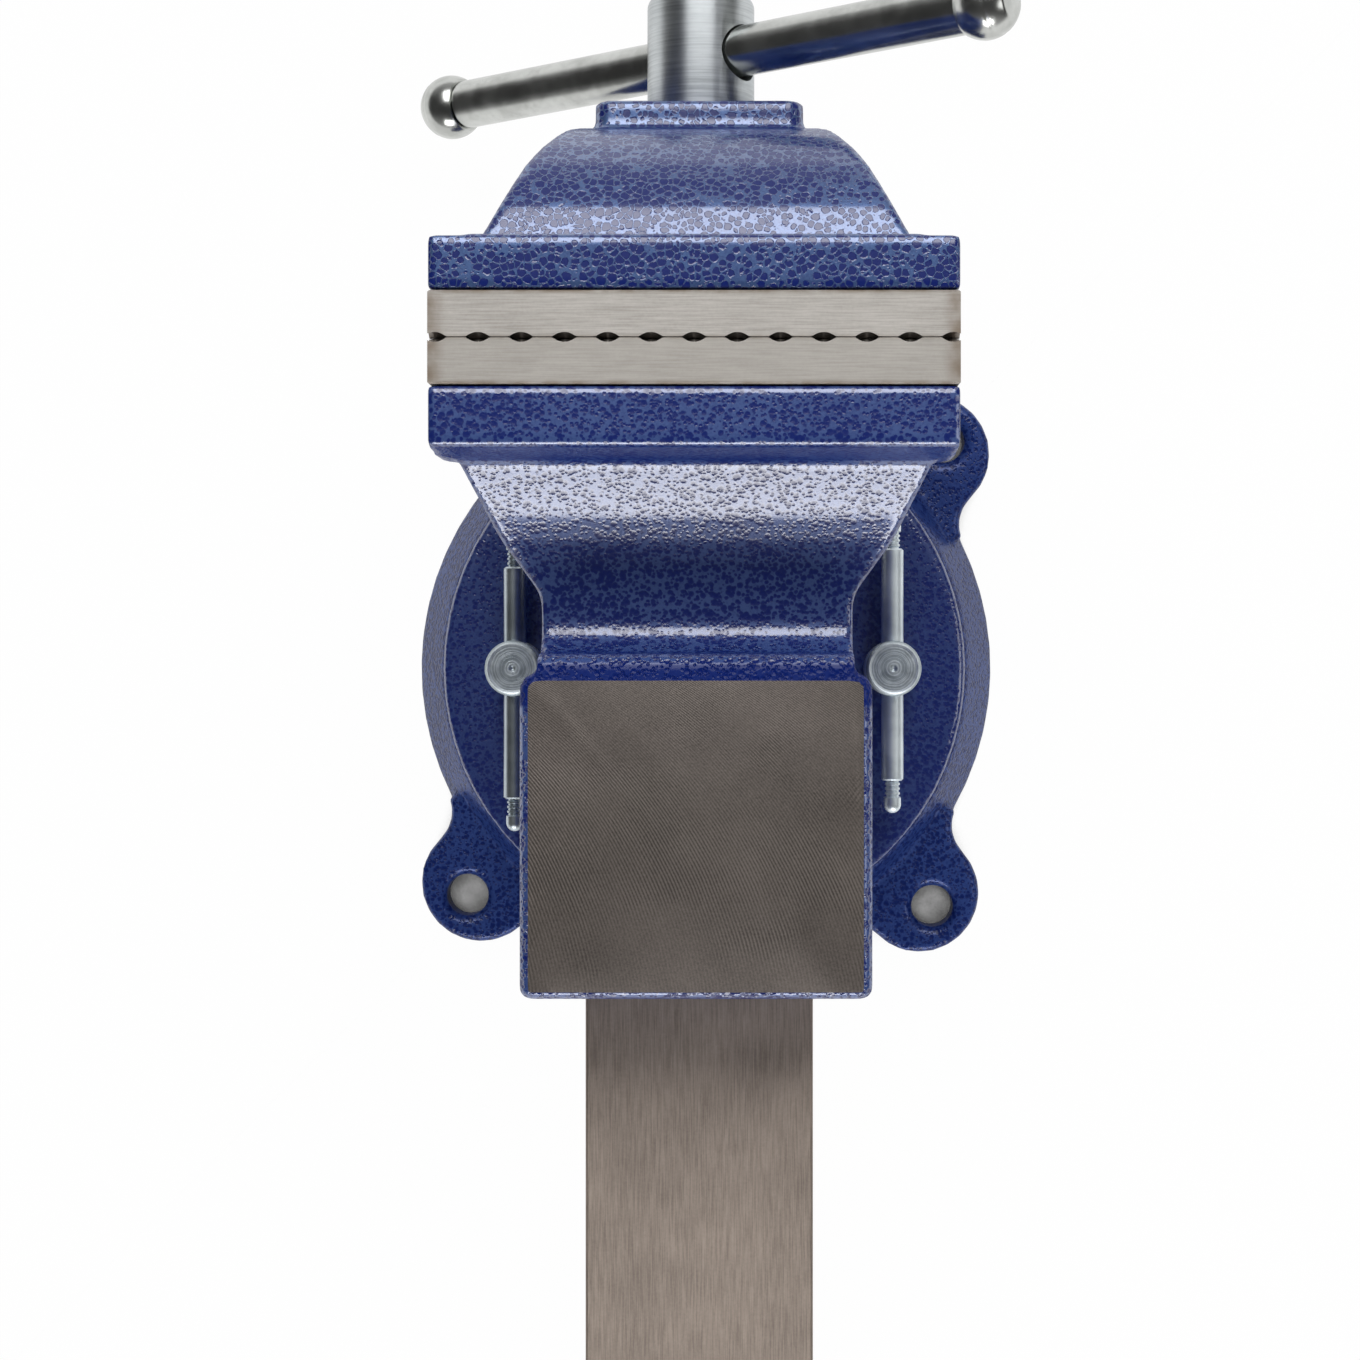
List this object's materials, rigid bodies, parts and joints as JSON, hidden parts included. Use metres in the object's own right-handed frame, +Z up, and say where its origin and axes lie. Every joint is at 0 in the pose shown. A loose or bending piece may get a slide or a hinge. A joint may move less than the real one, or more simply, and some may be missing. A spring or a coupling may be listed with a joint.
{
  "type": "swivel bench vise",
  "caption": "Bench vise on a swivel base: screw-driven sliding jaw with a tommy-bar handle, flat jaw plates, an anvil behind the jaws, tee-bar swivel locks and a round base with bolting lugs.",
  "frame": {"origin": "on the swivel axis, on the bench face under the base", "axes": "+Z up, -Y towards the handle and the moving jaw, +Y towards the slide's tail, +X to the right of a person who stands at the handle"},
  "size_m": [0.2028, 0.4522, 0.205],
  "materials": {
    "blue_paint": "glossy hammertone paint on cast iron; the anvil's top and the slide's running faces are bare machined metal",
    "bright_steel": "ground steel with cross-hatched gripping faces",
    "zinc_steel": "turned and zinc plated",
    "chrome": "polished",
    "black_steel": "oil-blackened",
    "spring_steel": "drawn wire",
    "bronze": "cast and machined bronze"
  },
  "bodies": {
    "base": {"fixed_base": "blue_paint"},
    "swivel": {"swivel_body": "blue_paint", "fixed_jaw_plate": "bright_steel", "fixed_jaw_screw_left": "black_steel", "fixed_jaw_screw_right": "black_steel", "spindle_nut": "bronze", "nut_bolt": "zinc_steel", "tee_nut_left": "black_steel", "tee_nut_right": "black_steel"},
    "carriage": {"moving_jaw": "blue_paint", "moving_jaw_plate": "bright_steel", "moving_jaw_screw_left": "black_steel", "moving_jaw_screw_right": "black_steel"},
    "spindle": {"spindle": "zinc_steel", "thrust_washer": "zinc_steel", "spindle_spring": "spring_steel", "retaining_collar": "black_steel", "collar_pin": "spring_steel"},
    "handle": {"handle_bar": "chrome", "handle_knob_left": "chrome", "handle_knob_right": "chrome"},
    "lock_left": {"lock_bolt_left": "zinc_steel"},
    "lock_right": {"lock_bolt_right": "zinc_steel"},
    "tee_bar_left": {"tee_bar_left": "zinc_steel"},
    "tee_bar_right": {"tee_bar_right": "zinc_steel"}
  },
  "joints": [
    {"name": "swivel_turn", "type": "hinge", "parent": "base", "child": "swivel", "pos_m": [0, 0, 0], "axis": [0, 0, 1], "continuous": true},
    {"name": "jaw_slide", "type": "slide", "parent": "swivel", "child": "carriage", "axis": [0, -1, 0], "range_m": [0, 0.15]},
    {"name": "spindle_turn", "type": "hinge", "parent": "carriage", "child": "spindle", "pos_m": [0, -0.1778, 0.1], "axis": [0, -1, 0], "range_deg": [0, 9000]},
    {"name": "handle_slide", "type": "slide", "parent": "spindle", "child": "handle", "axis": [0.8184, 0.0343, -0.5736], "range_m": [-0.081, 0.081]},
    {"name": "lock_left_turn", "type": "hinge", "parent": "swivel", "child": "lock_left", "pos_m": [-0.064, 0, 0.0383], "axis": [0, 0, 1], "range_deg": [-45, 45]},
    {"name": "lock_right_turn", "type": "hinge", "parent": "swivel", "child": "lock_right", "pos_m": [0.064, 0, 0.0383], "axis": [0, 0, 1], "range_deg": [-45, 45]},
    {"name": "tee_bar_left_slide", "type": "slide", "parent": "lock_left", "child": "tee_bar_left", "axis": [0, 1, 0], "range_m": [-0.0277, 0.0303]},
    {"name": "tee_bar_right_slide", "type": "slide", "parent": "lock_right", "child": "tee_bar_right", "axis": [0, 1, 0], "range_m": [-0.0339, 0.0241]}
  ],
  "couplings": [
    {"joint": "jaw_slide", "follows": "spindle_turn", "m_per_rad": 0.0009549}
  ]
}
